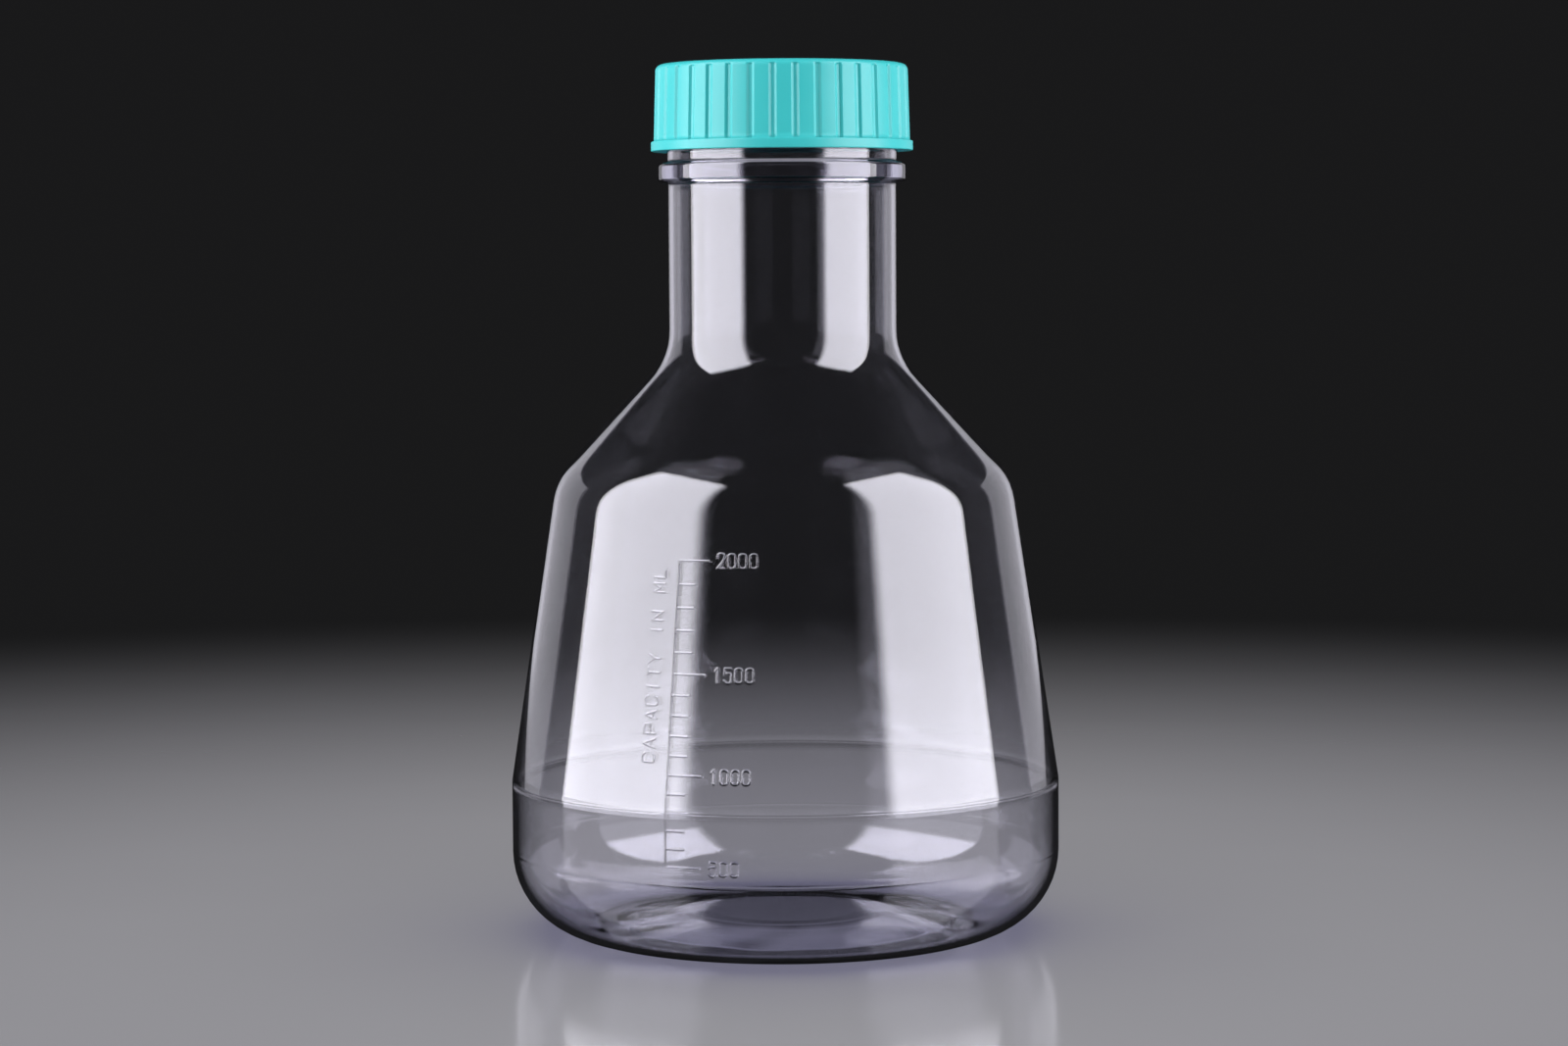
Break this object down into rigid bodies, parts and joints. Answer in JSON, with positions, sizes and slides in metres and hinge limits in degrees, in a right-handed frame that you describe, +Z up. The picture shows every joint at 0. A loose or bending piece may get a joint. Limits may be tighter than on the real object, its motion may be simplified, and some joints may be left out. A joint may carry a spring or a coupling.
{
  "type": "erlenmeyer flask",
  "caption": "Clear conical culture flask with a wide neck, a transfer bead and a raised volume scale, closed by a ribbed screw cap with a vented top.",
  "frame": {"origin": "middle of the ring that the flask stands on, on the surface it stands on", "axes": "+Z up along the flask's axis, towards the cap; -Y is the front, with the volume scale on the front left"},
  "size_m": [0.162, 0.162, 0.2556],
  "materials": {
    "clear_polycarbonate": "clear, glossy, faint violet tint in thick sections",
    "teal_polyethylene": "satin moulded polyethylene",
    "white_membrane": "matt porous film",
    "silicone_seal": "translucent matt silicone"
  },
  "bodies": {
    "flask": {"flask_body": "clear_polycarbonate"},
    "seal": {"seal_ring": "silicone_seal"},
    "cap": {"cap_shell": "teal_polyethylene", "vent_membrane": "white_membrane"}
  },
  "joints": [
    {"name": "cap_rise", "type": "slide", "parent": "flask", "child": "seal", "axis": [0, 0, 1], "range_m": [0, 0.03]},
    {"name": "cap_turn", "type": "hinge", "parent": "seal", "child": "cap", "pos_m": [0, 0, 0.243], "axis": [0, 0, 1], "range_deg": [0, 2160]}
  ],
  "couplings": [
    {"joint": "cap_rise", "follows": "cap_turn", "m_per_rad": 0.00079577}
  ]
}
